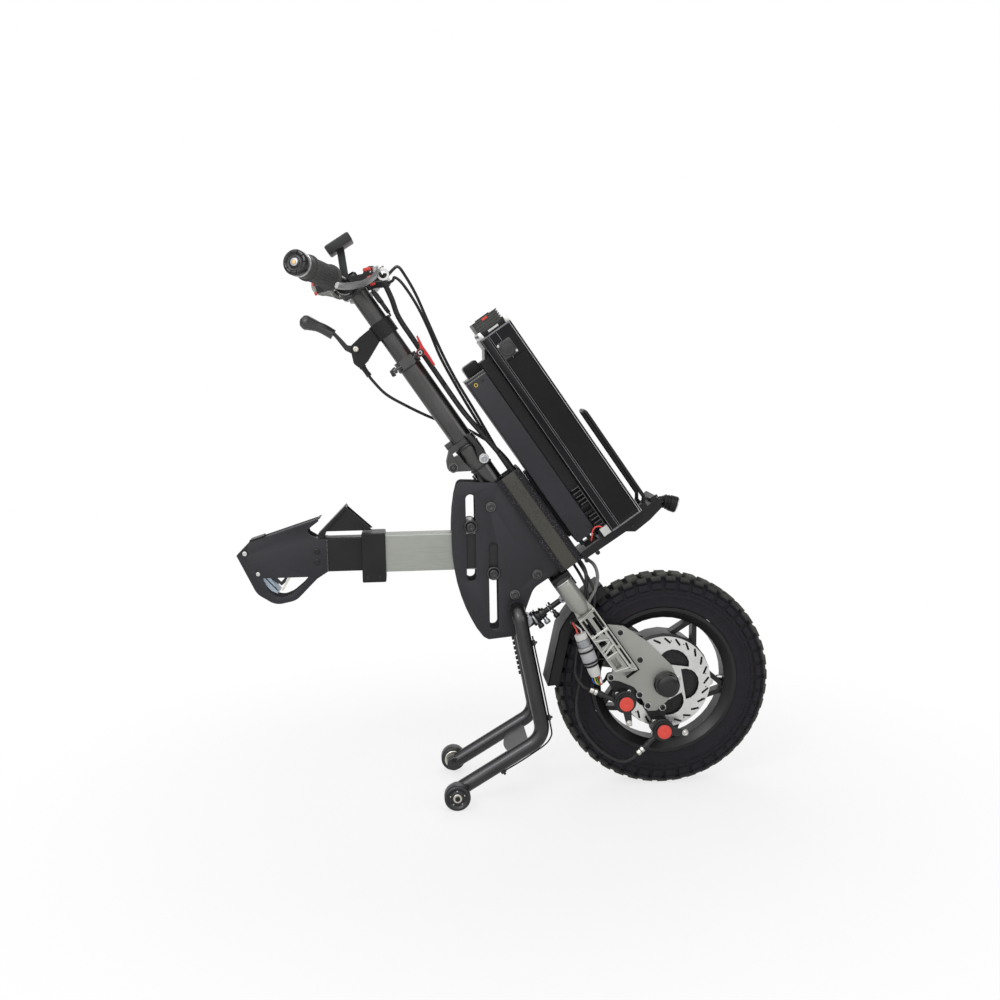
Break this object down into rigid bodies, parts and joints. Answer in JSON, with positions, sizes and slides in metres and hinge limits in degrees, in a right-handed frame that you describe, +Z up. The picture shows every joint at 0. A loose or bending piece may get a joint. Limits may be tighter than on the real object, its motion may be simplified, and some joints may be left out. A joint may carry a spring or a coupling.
{
  "type": "wheelchair drive unit",
  "caption": "Electric front-wheel drive unit that hooks under a wheelchair, with battery, disc brakes, folding height-adjustable bars, sliding dock arm and roller stand.",
  "frame": {"origin": "on the ground under the middle of the unit's length and width, resting on its tyre and on the two rollers of its stand", "axes": "+X forward to the driven wheel, +Y to the unit's left, +Z up; the stored pose is the pictured one, with the stand down"},
  "size_m": [0.9107, 0.4848, 0.9516],
  "materials": {
    "plate_black": "matte powder coat",
    "satin_black": "satin",
    "stem_grey": "satin anodised",
    "rubber": "matte",
    "tyre_rubber": "matte",
    "wrap_olive": "grained",
    "arm_silver": "satin anodised",
    "fork_grey": "bead blasted",
    "steel": "brushed",
    "red": "satin",
    "battery_black": "gloss",
    "cable_black": "satin",
    "grip_grey": "matte",
    "rim_black": "satin"
  },
  "bodies": {
    "frame": {"side_plate_near": "plate_black", "side_plate_far": "plate_black", "plate_bolt_upper": "satin_black", "plate_bolt_front": "satin_black", "plate_bolt_lower": "satin_black", "head_tube": "satin_black", "headset_upper": "steel", "headset_lower": "steel", "head_wrap": "wrap_olive", "dock_rail": "satin_black", "controller": "plate_black", "tray": "satin_black", "damper": "satin_black", "harness": "cable_black", "brake_cable_near": "cable_black", "brake_cable_far": "cable_black", "hand_cable": "cable_black"},
    "lamp": {"headlamp": "satin_black"},
    "battery": {"battery_case": "battery_black", "battery_cap": "battery_black"},
    "arm": {"arm_tube": "arm_silver", "slot_bolt_upper": "satin_black", "slot_bolt_lower": "satin_black", "arm_collar": "satin_black"},
    "hook": {"inner_tube": "satin_black", "hook_shell": "plate_black", "guide_wedge": "satin_black"},
    "catch": {"latch": "steel"},
    "stand": {"stand_frame": "stem_grey"},
    "roller_n": {"roller_near": "rubber"},
    "roller_f": {"roller_far": "rubber"},
    "fork": {"fork_crown": "satin_black", "fork_leg_near": "fork_grey", "fork_leg_far": "fork_grey", "dropout_near": "fork_grey", "dropout_far": "fork_grey", "axle": "satin_black", "caliper_upper": "satin_black", "caliper_lower": "satin_black", "mudguard": "satin_black", "stem_base": "stem_grey"},
    "wheel": {"tyre": "tyre_rubber", "rim": "rim_black", "rotor": "steel", "wheel_bearing_near": "steel", "wheel_bearing_far": "steel"},
    "pull_arm_upper": {"caliper_arm_upper": "satin_black"},
    "pull_arm_lower": {"caliper_arm_lower": "satin_black"},
    "stem_catch": {"fold_latch": "steel"},
    "stem": {"stem_tube": "stem_grey"},
    "height_lever": {"qr_lever": "red"},
    "bars": {"mast": "stem_grey", "handlebar": "satin_black", "grip_far": "grip_grey", "display": "satin_black", "hand_mount": "satin_black"},
    "twist_grip": {"throttle": "grip_grey"},
    "brake_near": {"brake_lever_near": "steel"},
    "brake_far": {"brake_lever_far": "steel"},
    "park_lever": {"hand_lever": "satin_black"}
  },
  "joints": [
    {"name": "lamp_tilt", "type": "hinge", "parent": "frame", "child": "lamp", "pos_m": [0.26507, 0, 0.50236], "axis": [0, 1, 0], "range_deg": [-15, 12]},
    {"name": "battery_slide", "type": "slide", "parent": "frame", "child": "battery", "axis": [-0.5606, 0, 0.8281], "range_m": [0, 0.12]},
    {"name": "arm_height", "type": "slide", "parent": "frame", "child": "arm", "axis": [0, 0, 1], "range_m": [-0.085, 0.025]},
    {"name": "arm_reach", "type": "slide", "parent": "arm", "child": "hook", "axis": [1, 0, 0], "range_m": [-0.05, 0.05]},
    {"name": "catch_pivot", "type": "hinge", "parent": "hook", "child": "catch", "pos_m": [-0.441, 0, 0.4315], "axis": [0, 1, 0], "range_deg": [0, 20], "stiffness_Nm_per_rad": 0.3, "springref_deg": -17.19},
    {"name": "stand_fold", "type": "hinge", "parent": "frame", "child": "stand", "pos_m": [0.014, 0, 0.324], "axis": [0, 1, 0], "range_deg": [0, 50]},
    {"name": "roller_near_spin", "type": "hinge", "parent": "stand", "child": "roller_n", "pos_m": [-0.097, -0.096, 0.022], "axis": [0, 1, 0], "continuous": true},
    {"name": "roller_far_spin", "type": "hinge", "parent": "stand", "child": "roller_f", "pos_m": [-0.097, 0.096, 0.022], "axis": [0, 1, 0], "continuous": true},
    {"name": "steer", "type": "hinge", "parent": "frame", "child": "fork", "pos_m": [-0.0245, 0, 0.543], "axis": [-0.5606, 0, 0.8281], "range_deg": [-35, 35], "deforming": ["harness", "brake_cable_near", "brake_cable_far", "hand_cable"]},
    {"name": "wheel_spin", "type": "hinge", "parent": "fork", "child": "wheel", "pos_m": [0.2685, 0, 0.188], "axis": [0, 1, 0], "continuous": true},
    {"name": "pull_arm_upper_pivot", "type": "hinge", "parent": "fork", "child": "pull_arm_upper", "pos_m": [0.193, 0, 0.164], "axis": [0, 1, 0], "range_deg": [0, 20]},
    {"name": "pull_arm_lower_pivot", "type": "hinge", "parent": "fork", "child": "pull_arm_lower", "pos_m": [0.258, 0, 0.113], "axis": [0, 1, 0], "range_deg": [0, 20]},
    {"name": "stem_catch_pivot", "type": "hinge", "parent": "fork", "child": "stem_catch", "pos_m": [-0.0374, -0.025, 0.58257], "axis": [0, 1, 0], "range_deg": [0, 35]},
    {"name": "stem_fold", "type": "hinge", "parent": "fork", "child": "stem", "pos_m": [-0.08902, 0, 0.56695], "axis": [0, -1, 0], "range_deg": [0, 50], "deforming": ["harness", "brake_cable_near", "brake_cable_far", "hand_cable"]},
    {"name": "height_lever_pivot", "type": "hinge", "parent": "stem", "child": "height_lever", "pos_m": [-0.13988, -0.0235, 0.76015], "axis": [0, -1, 0], "range_deg": [0, 65]},
    {"name": "bar_height", "type": "slide", "parent": "stem", "child": "bars", "axis": [-0.5606, 0, 0.8281], "range_m": [-0.04, 0.06], "deforming": ["harness", "brake_cable_near", "brake_cable_far", "hand_cable"]},
    {"name": "throttle_twist", "type": "hinge", "parent": "bars", "child": "twist_grip", "pos_m": [-0.27424, -0.11993, 0.87494], "axis": [-0.3623, -0.9237, 0.1244], "range_deg": [0, 60], "stiffness_Nm_per_rad": 0.15, "springref_deg": -11.46},
    {"name": "brake_lever_near_pull", "type": "hinge", "parent": "bars", "child": "brake_near", "pos_m": [-0.20726, -0.074, 0.88758], "axis": [0, 0, -1], "range_deg": [0, 15], "stiffness_Nm_per_rad": 1.5, "springref_deg": -5.73},
    {"name": "brake_lever_far_pull", "type": "hinge", "parent": "bars", "child": "brake_far", "pos_m": [-0.20726, 0.074, 0.88758], "axis": [0, 0, 1], "range_deg": [0, 15], "stiffness_Nm_per_rad": 1.5, "springref_deg": -5.73},
    {"name": "park_lever_pull", "type": "hinge", "parent": "bars", "child": "park_lever", "pos_m": [-0.246, 0, 0.768], "axis": [0, 1, 0], "range_deg": [0, 30]}
  ],
  "couplings": [
    {"joint": "pull_arm_upper_pivot", "follows": "brake_lever_near_pull", "ratio": 1.3},
    {"joint": "pull_arm_lower_pivot", "follows": "brake_lever_far_pull", "ratio": 1.3}
  ]
}
